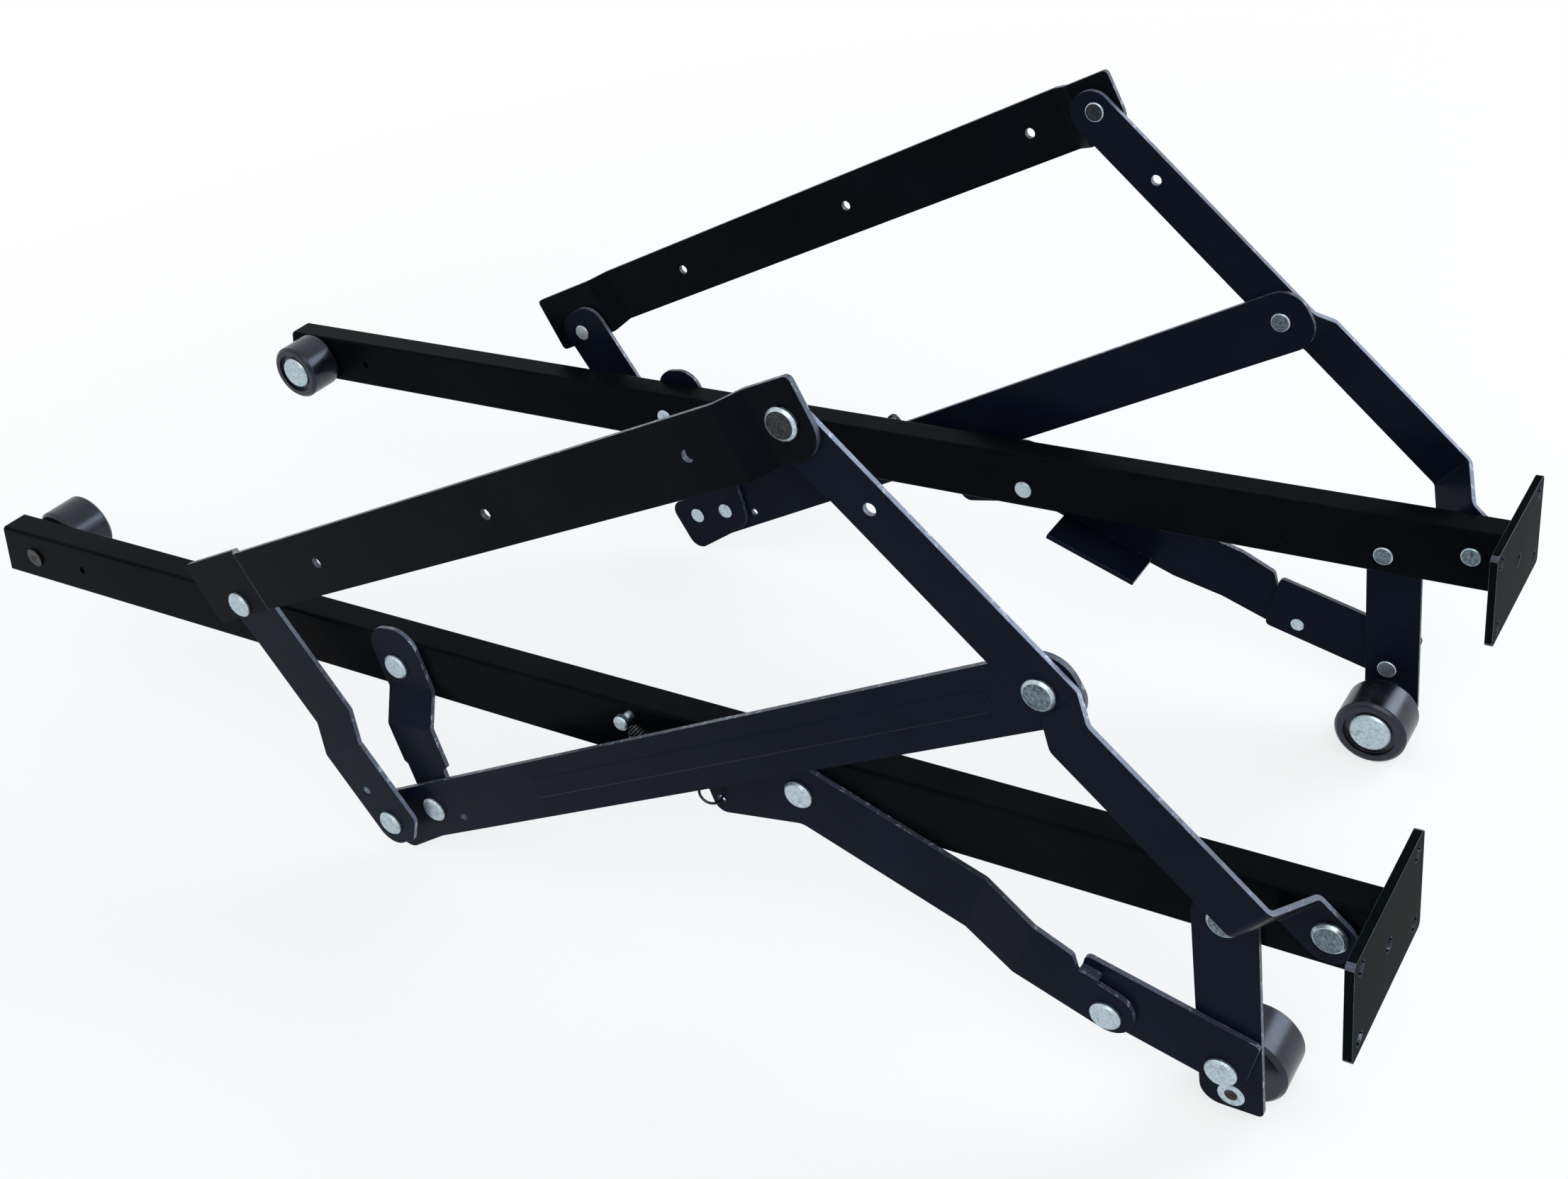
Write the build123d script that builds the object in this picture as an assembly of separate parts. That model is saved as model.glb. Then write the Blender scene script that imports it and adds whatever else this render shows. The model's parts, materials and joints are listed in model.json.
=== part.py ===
from build123d import *
import math
import os

# A left and right pair of lift mechanisms for a folding bed frame. Each unit is
# a rail with an end plate, a five-bar lift linkage, a folding caster leg and a
# roller at the rail's free end. Millimetres. The origin is the centre of the
# right end plate's bolt pattern, on its outer face. +X points out of the plate,
# +Z is up, and the right unit's outer side faces -Y.

# Spacing of the pair
rail_gauge = 311.0
left_stagger = 26.5

# The rail's place on the end plate
rail_face_y = -6.5
rail_mid_z = 2.2

# Strap steel and layers
strap = 3.0
layer_gap = 0.4
bend_radius = 2.5
fit_gap = 0.05
head_gap = 0.15
main_link_out = 14.8

# Rivets
shank_radius = 4.0
head_radius = 7.8
head_height = 2.5
head_bevel = 1.2
tail_radius = 5.5
tail_height = 1.5
tail_bevel = 0.5
low_tail_height = 0.8

# Rail
rail_height = 36.0
rail_width = 18.5
rail_wall = 1.5
rail_corner = 2.0
rail_top_length = 904.0
rail_end_slant = 12.0
rail_roller_inset = 24.5
rail_hole_spacing = 48.0
rail_hole_radius = 2.5

# End plate
plate_width = 89.0
plate_height = 55.0
plate_thickness = 4.0
plate_corner = 3.0
bolt_spacing_y = 71.5
bolt_spacing_z = 39.4
bolt_hole_radius = 3.5
weld_leg = 2.5

# Pivots on the rail: distance behind the plate's outer face, height above the rail's middle
swing_back = 551.0
swing_rise = 1.0
brace_rise = -5.3
leg_back = 66.6
leg_rise = -6.3
arm_back = 21.0
arm_rise = 2.8

# Lift arm
arm_angle = 135.5
arm_length = 306.0
arm_main_along = 155.3
arm_main_across = 5.4
arm_right = 10.0
arm_left = 15.0
arm_foot = 18.0
arm_web = 14.0
arm_joggle_start = 134.5
arm_joggle_run = 11.5
arm_joggle = 9.6
arm_end = 13.0
arm_end_round = 12.0
arm_hole_along = 256.7
arm_hole_across = 2.3
arm_hole_radius = 3.0

# Swing link
swing_length = 89.6
swing_angle = -82.1
swing_left = 14.5
swing_right = 20.5
swing_top = 25.0
swing_top_round = 15.0
swing_bottom = 15.5
swing_joggle_start = 16.0
swing_joggle_run = 18.5
swing_neck_start = 60.0
swing_neck = 2.0

# Main link
main_far_along = 31.1
main_far_across = -2.4
main_upper = 16.5
main_lower = 18.5
main_head_end = 17.0
main_head_round = 15.0
main_tail_end = 20.3
main_tail_dip = 4.5
main_tail_run = 41.0
main_tail_round = 9.0
main_dimple_back = 20.6
main_dimple_across = 9.0
main_dimple_radius = 2.5

# Connector link
connector_length = 153.6
connector_left = 16.0
connector_right = 22.0
connector_joggle_start = 52.0
connector_joggle_run = 18.0
connector_joggle = 7.4
connector_bottom = 15.0
connector_top = 15.0
connector_round = 14.0
connector_slant = 11.0
connector_hole_along = 23.5
connector_hole_across = 2.0
connector_hole_radius = 2.5

# Support bar
bar_length = 442.5
bar_rise = 13.1
bar_half = 18.1
bar_left_end = 30.0
bar_left_drop = 3.0
bar_right_end = 13.9
bar_corner = 3.0
bar_end_round = 14.0
bar_left_joggle = 25.5
bar_right_joggle = 24.5
bar_joggle_run = 11.5
bar_joggle = 8.0
bar_hole_first = 104.3
bar_hole_middle = 252.2
bar_hole_last = 392.5
bar_hole_radius = 3.0

# Leg brace
brace_length = 176.9
brace_drop = 10.1
brace_upper = 18.2
brace_lower = 19.0
brace_head_end = 17.0
brace_head_round = 16.0
brace_lobe_along = 39.5
brace_lobe_across = 37.5
brace_lobe_side = 10.5
brace_lobe_rise = 5.5
brace_lobe_drop = 9.5
brace_lobe_round = 7.0
brace_lobe_hole = 2.6
brace_root_along = 6.0
brace_root_round = 10.0
brace_joggle_start = 100.0
brace_joggle_run = 30.0
brace_edge_round = 20.0
brace_end = 12.6
brace_end_below = 10.4
brace_end_above = 15.2
brace_end_round = 12.0
brace_step_along = 156.3
brace_step_run = 5.0
brace_step_rise = 8.1
brace_corner = 3.0
brace_flange_start = 25.0
brace_flange_end = 84.0
brace_flange_reach = 26.0

# Knuckle link
knuckle_length = 56.0
knuckle_angle = -15.9
knuckle_lower = 9.0
knuckle_upper = 26.5
knuckle_left = 18.0
knuckle_right = 11.5
knuckle_round = 12.0
knuckle_corner = 3.0
knuckle_tab_length = 10.0
knuckle_tab_rise = 18.2
knuckle_tab_past = 2.3

# Leg and its roller
leg_angle = -89.3
leg_knuckle_along = 89.1
leg_knuckle_across = -2.65
leg_axle_along = 107.0
leg_half = 15.2
leg_top = 15.0
leg_bottom = 8.5
leg_top_round = 15.0
leg_round = 10.0
leg_heel_round = 3.0
roller_radius = 20.5
roller_width = 27.0
roller_recess_radius = 15.0
roller_recess_depth = 3.0
roller_edge = 2.0
roller_gap = 0.3
spacer_radius = 9.0
rail_spacer_length = 1.5
leg_spacer_length = 12.0
pin_head_radius = 12.0
pin_head_height = 2.5
pin_end_radius = 6.5
rail_pin_end_height = 1.5
leg_pin_end_height = 0.15
pin_dimple_radius = 3.2
pin_dimple_depth = 1.2

# Leg spring
spring_pin_past_brace = 102.7
spring_pin_rise = 11.6
spring_pin_radius = 2.5
spring_pin_height = 8.0
spring_cap_radius = 4.2
spring_cap_height = 1.4
spring_radius = 4.5
spring_wire = 0.8
spring_coil_pitch = 1.6
spring_hook_radius = 6.4
spring_hook_out = 4.2
spring_eye_gap = 0.4
spring_eye_out = 6.2
spring_lead = 1.2

# Layers outward from the rail's outer face, each the inner face of a strap
first_out = layer_gap
knuckle_out = first_out + strap + layer_gap
brace_end_out = knuckle_out + strap + layer_gap
swing_end_out = main_link_out - strap - layer_gap
arm_mid_out = main_link_out + strap + layer_gap
bar_end_out = arm_mid_out + strap + layer_gap
bar_out = bar_end_out + bar_joggle
connector_low_out = arm_mid_out + connector_joggle
arm_low_out = arm_mid_out + arm_joggle
corner_share = 0.499

# Cutting depth and reach, past every piece
deep = 8 * (bar_out + strap)
long = 2 * rail_top_length


def on_rail(back, rise):
    return (-back, rail_mid_z + rise)


def shifted(point, angle, along, across):
    turn = math.radians(angle)
    x = point[0] + along * math.cos(turn) - across * math.sin(turn)
    z = point[1] + along * math.sin(turn) + across * math.cos(turn)
    return (x, z)


def heading(start, end):
    return math.degrees(math.atan2(end[1] - start[1], end[0] - start[0]))


def distance(start, end):
    return math.hypot(end[0] - start[0], end[1] - start[1])


def meet(first, first_length, second, second_length, side):
    # The point at the two lengths from two points; side is 1 to the left of the line between them
    span = distance(first, second)
    along = (first_length**2 - second_length**2 + span**2) / (2 * span)
    across = math.sqrt(first_length**2 - along**2)
    return shifted(first, heading(first, second), along, side * across)


# Pivots in the plane of the linkage at rest, as (x, z)
swing_pivot = on_rail(swing_back, swing_rise)
leg_pivot = on_rail(leg_back, leg_rise)
arm_pivot = on_rail(arm_back, arm_rise)
arm_bar = shifted(arm_pivot, arm_angle, arm_length, 0)
arm_main = shifted(arm_pivot, arm_angle, arm_main_along, arm_main_across)
swing_main = shifted(swing_pivot, swing_angle, swing_length, 0)
main_angle = heading(arm_main, swing_main)
main_length = distance(arm_main, swing_main)
main_connector = shifted(arm_main, main_angle, main_length + main_far_along, main_far_across)
bar_connector = meet(main_connector, connector_length, arm_bar, bar_length, 1)
connector_angle = heading(main_connector, bar_connector)
bar_angle = heading(bar_connector, arm_bar) - math.degrees(math.asin(bar_rise / bar_length))
bar_reach = math.sqrt(bar_length**2 - bar_rise**2)
leg_knuckle = shifted(leg_pivot, leg_angle, leg_knuckle_along, leg_knuckle_across)
leg_axle = shifted(leg_pivot, leg_angle, leg_axle_along, 0)
brace_knuckle = shifted(leg_knuckle, knuckle_angle, -knuckle_length, 0)
brace_fall = rail_mid_z + brace_rise - brace_knuckle[1]
brace_pivot = (brace_knuckle[0] - math.sqrt(brace_length**2 - brace_fall**2), rail_mid_z + brace_rise)
brace_angle = heading(brace_pivot, brace_knuckle) + math.degrees(math.asin(brace_drop / brace_length))
brace_reach = math.sqrt(brace_length**2 - brace_drop**2)
rail_axle = on_rail(plate_thickness + rail_top_length - rail_roller_inset, 0)
rail_hole = on_rail(plate_thickness + rail_top_length - rail_roller_inset - rail_hole_spacing, 0)
spring_pin_place = (brace_pivot[0] - spring_pin_past_brace, rail_mid_z + spring_pin_rise)
lobe_place = shifted(brace_pivot, brace_angle, -brace_lobe_along, -brace_lobe_across)


def place(solid, pivot, angle):
    # From a link's own frame (along, across, out) to the part's frame
    turn = math.radians(angle)
    frame = Plane(
        origin=(pivot[0], rail_face_y, pivot[1]),
        x_dir=(math.cos(turn), 0, math.sin(turn)),
        z_dir=(0, -1, 0),
    )
    return frame * solid


def plan(corners):
    # A closed outline from (along, across, corner radius), cut through every layer
    points = [(corner[0], corner[1]) for corner in corners]
    radii = []
    for index, corner in enumerate(corners):
        before = points[index - 1]
        here = points[index]
        after = points[(index + 1) % len(points)]
        turn = math.radians(heading(here, after) - heading(before, here))
        turn = abs(math.atan2(math.sin(turn), math.cos(turn)))
        room = corner_share * min(distance(before, here), distance(here, after))
        radii.append(min(corner[2], room / math.tan(turn / 2)))
    face = make_face(FilletPolyline(*points, radius=radii, close=True))
    return Pos(0, 0, -deep / 2) * extrude(face, amount=deep)


def side(line):
    # The strap's side view from its inner face as (along, out), made one strap thick
    start = (line[0][0] - long, line[0][1])
    end = (line[-1][0] + long, line[-1][1])
    points = [start] + line + [end]
    turns = []
    outer = [(start[0], start[1] + strap)]
    for before, here, after in zip(points, points[1:], points[2:]):
        first = math.atan2(here[1] - before[1], here[0] - before[0])
        second = math.atan2(after[1] - here[1], after[0] - here[0])
        middle = (first + second) / 2
        reach = strap / math.cos((second - first) / 2)
        outer.append((here[0] - reach * math.sin(middle), here[1] + reach * math.cos(middle)))
        turns.append(second - first)
    outer.append((end[0], end[1] + strap))
    inner_radii = [bend_radius + strap if turn > 0 else bend_radius for turn in turns]
    outer_radii = [bend_radius if turn > 0 else bend_radius + strap for turn in turns]
    inner = [(point[0], 0, point[1]) for point in points]
    outer = [(point[0], 0, point[1]) for point in outer]
    edges = FilletPolyline(*inner, radius=inner_radii).edges()
    edges += FilletPolyline(*outer, radius=outer_radii).edges()
    edges += [Edge.make_line(inner[0], outer[0]), Edge.make_line(inner[-1], outer[-1])]
    face = Face(Wire.combine(edges)[0])
    return extrude(face, amount=deep / 2, dir=(0, 1, 0), both=True)


def flat(corners, out):
    face = plan(corners)
    layer = Pos(0, 0, out + strap / 2) * Box(2 * long, 2 * long, strap)
    return face & layer


def round_hole(along, across, radius):
    return Pos(along, across, 0) * Cylinder(radius, deep)


def turned(profile):
    # A solid of revolution about the out direction from (radius, out) points
    points = [(point[0], 0, point[1]) for point in profile]
    face = make_face(Polyline(*points, close=True))
    return revolve(face, axis=Axis.Z)


def head(out):
    return [
        (head_radius, out),
        (head_radius, out + head_height - head_bevel),
        (head_radius - head_bevel, out + head_height),
        (0, out + head_height),
    ]


def tail(out, height):
    return [
        (0, out - height),
        (tail_radius - tail_bevel, out - height),
        (tail_radius, out - height + tail_bevel),
        (tail_radius, out),
    ]


def rivet(inner, outer, height):
    # A shank between two faces with a head outside and a clinched tail inside
    low = inner - head_gap
    high = outer + head_gap
    return turned(tail(low, height) + [(shank_radius, low), (shank_radius, high)] + head(high))


def rivet_head(inner, outer):
    high = outer + head_gap
    return turned([(0, inner), (shank_radius, inner), (shank_radius, high)] + head(high))


def rivet_tail(inner, outer):
    low = inner - head_gap
    return turned(tail(low, tail_height) + [(shank_radius, low), (shank_radius, outer), (0, outer)])


def rivet_end(inner, outer):
    return turned([(0, inner), (shank_radius, inner), (shank_radius, outer), (0, outer)])


pivot_hole = shank_radius + fit_gap


def make_rail():
    outer = RectangleRounded(rail_height, rail_width, rail_corner)
    inner = RectangleRounded(rail_height - 2 * rail_wall, rail_width - 2 * rail_wall, rail_corner - rail_wall)
    section = Plane(
        origin=(-plate_thickness, rail_face_y + rail_width / 2, rail_mid_z),
        x_dir=(0, 0, 1),
        z_dir=(-1, 0, 0),
    )
    tube = extrude(section * (outer - inner), amount=rail_top_length + rail_end_slant)
    top = -plate_thickness - rail_top_length
    slant = Polyline(
        (top, 0, rail_mid_z + rail_height / 2),
        (top - rail_end_slant, 0, rail_mid_z - rail_height / 2),
        (top - 2 * rail_end_slant, 0, rail_mid_z - rail_height / 2),
        (top - 2 * rail_end_slant, 0, rail_mid_z + rail_height / 2),
        close=True,
    )
    tube -= extrude(make_face(slant), amount=deep, dir=(0, 1, 0), both=True)
    for pivot in (swing_pivot, brace_pivot, leg_pivot, arm_pivot, rail_axle):
        tube -= place(round_hole(0, 0, pivot_hole), pivot, 0)
    tube -= place(round_hole(0, 0, rail_hole_radius), rail_hole, 0)
    pin_bore = Cylinder(spring_pin_radius + fit_gap, rail_width)
    tube -= place(pin_bore, spring_pin_place, 0)
    return tube


def make_end_plate():
    plate = Plane.YZ * RectangleRounded(plate_width, plate_height, plate_corner)
    plate = extrude(plate, amount=-plate_thickness)
    bolts = [Pos(0, 0)] + list(GridLocations(bolt_spacing_y, bolt_spacing_z, 2, 2))
    for bolt in bolts:
        plate -= Plane.YZ * bolt * Cylinder(bolt_hole_radius, 4 * plate_thickness)
    return plate


def make_weld_beads():
    beads = []
    flat_width = rail_width - 2 * rail_corner
    flat_height = rail_height - 2 * rail_corner
    centre = Pos(-plate_thickness, rail_face_y + rail_width / 2, rail_mid_z)
    for turn, half, length in (
        (0, rail_height / 2, flat_width),
        (180, rail_height / 2, flat_width),
        (90, rail_width / 2, flat_height),
        (270, rail_width / 2, flat_height),
    ):
        corners = Polyline((0, 0, half), (-weld_leg, 0, half), (0, 0, half + weld_leg), close=True)
        bead = extrude(make_face(corners), amount=length / 2, dir=(0, 1, 0), both=True)
        beads.append(centre * Rot(turn, 0, 0) * bead)
    return Compound(beads)


def make_rail_rivets():
    rivets = []
    for pivot in (swing_pivot, brace_pivot, leg_pivot, arm_pivot):
        rivets.append(place(rivet(-rail_width, first_out + strap, tail_height), pivot, 0))
    return Compound(rivets)


def make_lift_arm():
    end = arm_length + arm_end
    outline = plan([
        (-arm_end, -arm_right, arm_end_round),
        (end, -arm_right, arm_end_round),
        (end, arm_left, arm_end_round),
        (-arm_end, arm_left, arm_end_round),
    ])
    profile = side([
        (arm_foot, first_out),
        (arm_foot + arm_web, arm_low_out),
        (arm_joggle_start, arm_low_out),
        (arm_joggle_start + arm_joggle_run, arm_mid_out),
    ])
    arm = outline & profile
    arm -= round_hole(0, 0, pivot_hole)
    arm -= round_hole(arm_main_along, arm_main_across, pivot_hole)
    arm -= round_hole(arm_length, 0, pivot_hole)
    arm -= round_hole(arm_hole_along, arm_hole_across, arm_hole_radius)
    return place(arm, arm_pivot, arm_angle)


def make_arm_rivets():
    lower = place(rivet(main_link_out, arm_mid_out + strap, tail_height), arm_main, 0)
    upper = place(rivet(arm_mid_out, bar_end_out + strap, tail_height), arm_bar, 0)
    return Compound([lower, upper])


def make_swing_link():
    end = swing_length + swing_bottom
    lower_left = -swing_left + swing_neck
    lower_right = swing_right - 2 * swing_neck
    outline = plan([
        (-swing_top, -swing_left, swing_top_round),
        (swing_neck_start, -swing_left, 0),
        (swing_neck_start + swing_neck, lower_left, 0),
        (end, lower_left, swing_bottom),
        (end, lower_right, swing_bottom),
        (swing_neck_start + swing_neck, lower_right, 0),
        (swing_neck_start, swing_right, 0),
        (-swing_top, swing_right, swing_top_round),
    ])
    profile = side([
        (swing_joggle_start, first_out),
        (swing_joggle_start + swing_joggle_run, swing_end_out),
    ])
    link = outline & profile
    link -= round_hole(0, 0, pivot_hole)
    link -= round_hole(swing_length, 0, pivot_hole)
    return place(link, swing_pivot, swing_angle)


def make_main_link():
    far = main_length + main_far_along
    end = far + main_tail_end
    link = flat([
        (-main_head_end, -main_upper, main_head_round),
        (end, -main_upper, main_tail_round),
        (end, main_lower + main_tail_dip, main_tail_round),
        (end - main_tail_run, main_lower, 0),
        (-main_head_end, main_lower, main_head_round),
    ], main_link_out)
    link -= round_hole(0, 0, pivot_hole)
    link -= round_hole(main_length, 0, pivot_hole)
    link -= round_hole(far, main_far_across, pivot_hole)
    link -= round_hole(main_length - main_dimple_back, main_dimple_across, main_dimple_radius)
    return place(link, arm_main, main_angle)


def make_connector_link():
    top = connector_length + connector_top
    outline = plan([
        (-connector_bottom + connector_slant, -connector_right, connector_round / 2),
        (top, -connector_right, connector_round),
        (top, connector_left, connector_round),
        (-connector_bottom, connector_left, connector_round),
        (-connector_bottom, -connector_left / 2, connector_round / 2),
    ])
    profile = side([
        (connector_joggle_start, connector_low_out),
        (connector_joggle_start + connector_joggle_run, arm_mid_out),
    ])
    link = outline & profile
    link -= round_hole(0, 0, pivot_hole)
    link -= round_hole(connector_length, 0, pivot_hole)
    link -= round_hole(connector_hole_along, connector_hole_across, connector_hole_radius)
    return place(link, main_connector, connector_angle)


def make_connector_rivet():
    return place(rivet(main_link_out, connector_low_out + strap, tail_height), main_connector, 0)


def make_leg_rivet():
    return place(rivet(first_out, knuckle_out + strap, low_tail_height), leg_knuckle, 0)


def make_link_spacer():
    low = main_link_out + strap + head_gap
    high = connector_low_out - head_gap
    ring = turned([
        (pivot_hole, low),
        (head_radius, low),
        (head_radius, high),
        (pivot_hole, high),
    ])
    return place(ring, main_connector, 0)


def make_support_bar():
    low = bar_rise - bar_half
    high = bar_rise + bar_half
    end = bar_reach + bar_right_end
    outline = plan([
        (-bar_left_end, low - bar_left_drop, bar_corner),
        (bar_left_joggle, low - bar_left_drop, 0),
        (bar_left_joggle + bar_joggle_run, low, 0),
        (end, low, bar_end_round),
        (end, high, bar_corner),
        (-bar_left_end, high, bar_corner),
    ])
    profile = side([
        (bar_left_joggle, bar_end_out),
        (bar_left_joggle + bar_joggle_run, bar_out),
        (bar_reach - bar_right_joggle, bar_out),
        (bar_reach - bar_right_joggle + bar_joggle_run, bar_end_out),
    ])
    bar = outline & profile
    bar -= round_hole(0, 0, pivot_hole)
    bar -= round_hole(bar_reach, bar_rise, pivot_hole)
    for along in (bar_hole_first, bar_hole_middle, bar_hole_last):
        bar -= round_hole(along, bar_rise, bar_hole_radius)
    return place(bar, bar_connector, bar_angle)


def make_leg_brace():
    joggle_end = brace_joggle_start + brace_joggle_run
    end = brace_reach + brace_end
    end_low = -brace_drop - brace_end_below
    lobe_left = -brace_lobe_along - brace_lobe_side
    lobe_low = -brace_lobe_across - brace_lobe_drop
    outline = plan([
        (-brace_head_end, brace_upper, brace_head_round),
        (lobe_left, -brace_lobe_across + brace_lobe_rise, brace_lobe_round),
        (-brace_lobe_along, lobe_low, brace_lobe_round),
        (brace_root_along, -brace_lower, brace_root_round),
        (brace_joggle_start, -brace_lower, brace_edge_round),
        (joggle_end, end_low, brace_edge_round),
        (end, end_low, brace_end_round),
        (end, -brace_drop + brace_end_above, brace_end_round),
        (brace_step_along, -brace_drop + brace_end_above, brace_corner),
        (brace_step_along - brace_step_run, -brace_drop + brace_end_above + brace_step_rise, brace_corner),
        (brace_joggle_start, brace_upper, brace_edge_round),
    ])
    profile = side([
        (brace_joggle_start, first_out),
        (joggle_end, brace_end_out),
    ])
    brace = outline & profile
    flange_length = brace_flange_end - brace_flange_start
    flange_depth = brace_flange_reach + first_out + strap
    flange = Box(flange_length, strap, flange_depth, align=(Align.MIN, Align.MIN, Align.MAX))
    brace += Pos(brace_flange_start, -brace_lower, first_out + strap) * flange
    brace -= round_hole(0, 0, pivot_hole)
    brace -= round_hole(brace_reach, -brace_drop, pivot_hole)
    brace -= round_hole(-brace_lobe_along, -brace_lobe_across, brace_lobe_hole)
    return place(brace, brace_pivot, brace_angle)


def make_knuckle_link():
    end = knuckle_length + knuckle_right
    link = flat([
        (-knuckle_left, -knuckle_lower, knuckle_corner),
        (end, -knuckle_lower, knuckle_round),
        (end, knuckle_upper, knuckle_corner),
        (-knuckle_left, knuckle_upper, knuckle_corner),
    ], knuckle_out)
    tab_depth = brace_end_out + strap + knuckle_tab_past - knuckle_out
    tab = Box(knuckle_tab_length, strap, tab_depth, align=Align.MIN)
    link += Pos(-knuckle_left, knuckle_tab_rise, knuckle_out) * tab
    link -= round_hole(0, 0, pivot_hole)
    link -= round_hole(knuckle_length, 0, pivot_hole)
    return place(link, brace_knuckle, knuckle_angle)


def make_leg():
    end = leg_axle_along + leg_bottom
    leg = flat([
        (-leg_top, -leg_half, leg_top_round),
        (end, -leg_half, leg_round),
        (end, leg_half, leg_heel_round),
        (-leg_top, leg_half, leg_top_round),
    ], first_out)
    leg -= round_hole(0, 0, pivot_hole)
    leg -= round_hole(leg_knuckle_along, leg_knuckle_across, pivot_hole)
    leg -= round_hole(leg_axle_along, 0, pivot_hole)
    return place(leg, leg_pivot, leg_angle)


def make_spacer(seat_out, length, pivot):
    ring = turned([
        (pivot_hole, seat_out - length),
        (spacer_radius, seat_out - length),
        (spacer_radius, seat_out),
        (pivot_hole, seat_out),
    ])
    return place(ring, pivot, 0)


def make_roller(spacer_end, pivot):
    # The face with the recess looks inward, away from the spacer
    high = spacer_end - roller_gap
    low = high - roller_width
    ring = turned([
        (pivot_hole, low + roller_recess_depth),
        (roller_recess_radius, low + roller_recess_depth),
        (roller_recess_radius, low),
        (roller_radius - roller_edge, low),
        (roller_radius, low + roller_edge),
        (roller_radius, high - roller_edge),
        (roller_radius - roller_edge, high),
        (pivot_hole, high),
    ])
    return place(ring, pivot, 0)


def make_axle(spacer_end, end_out, end_height, pivot):
    recess = spacer_end - roller_gap - roller_width + roller_recess_depth
    under = recess - roller_gap
    pin = turned([
        (0, under - pin_head_height),
        (pin_head_radius - head_bevel, under - pin_head_height),
        (pin_head_radius, under - pin_head_height + head_bevel),
        (pin_head_radius, under),
        (shank_radius, under),
        (shank_radius, end_out),
        (pin_end_radius, end_out),
        (pin_end_radius, end_out + end_height),
        (pin_dimple_radius, end_out + end_height),
        (0, end_out + end_height - pin_dimple_depth),
    ])
    return place(pin, pivot, 0)


def make_spring_pin():
    cap_top = spring_pin_height + spring_cap_height
    pin = turned([
        (0, -rail_wall),
        (spring_pin_radius, -rail_wall),
        (spring_pin_radius, spring_pin_height),
        (spring_cap_radius, spring_pin_height),
        (spring_cap_radius, spring_pin_height + spring_cap_height / 2),
        (spring_cap_radius - spring_cap_height / 2, cap_top),
        (0, cap_top),
    ])
    return place(pin, spring_pin_place, 0)


def make_leg_spring():
    # Own frame: X from the brace's lobe to the pin, Z outward, the hook's centre height at zero
    span = distance(lobe_place, spring_pin_place)
    eye_radius = spring_pin_radius + spring_eye_gap + spring_wire
    start = 2 * spring_hook_radius + spring_lead
    end = span - eye_radius - spring_lead
    lift = spring_eye_out - spring_hook_out
    coils = round((end - start) / spring_coil_pitch)
    pitch = (end - start) / coils
    valley = spring_radius - spring_wire / 2
    edges = []
    for coil in range(coils):
        left = (start + coil * pitch, 0, valley)
        crest = (start + (coil + 0.5) * pitch, 0, spring_radius)
        right = (start + (coil + 1) * pitch, 0, valley)
        edges.append(Edge.make_three_point_arc(left, crest, right))
    edges.append(Edge.make_line((start, 0, 0), (start, 0, valley)))
    edges.append(Edge.make_line((end, 0, valley), (end, 0, 0)))
    edges.append(Edge.make_line((end, 0, 0), (start, 0, 0)))
    coil_body = revolve(Face(Wire.combine(edges)[0]), axis=Axis.X)
    coil_body = Rot(0, -math.degrees(math.atan2(lift, span)), 0) * coil_body
    hook = Pos(spring_hook_radius, 0, 0) * Rot(90, 0, 0) * Torus(spring_hook_radius, spring_wire)
    eye = Pos(span, 0, lift) * Torus(eye_radius, spring_wire)
    hook_end = make_spring_end(2 * spring_hook_radius, start, 0)
    eye_end = make_spring_end(end, span - eye_radius, lift)
    spring = coil_body + hook + hook_end + eye + eye_end
    angle = heading(lobe_place, spring_pin_place)
    return place(Pos(0, 0, spring_hook_out) * spring, lobe_place, angle)


def make_spring_end(start, end, height):
    # A straight wire from inside the coil's end to a ring
    length = end - start + 2 * spring_lead
    wire = Cylinder(spring_wire, length, align=(Align.CENTER, Align.CENTER, Align.MIN))
    return Pos(start - spring_lead, 0, height) * Rot(0, 90, 0) * wire


leg_spacer_end = first_out - leg_spacer_length
rail_spacer_end = -rail_width - rail_spacer_length

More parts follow.
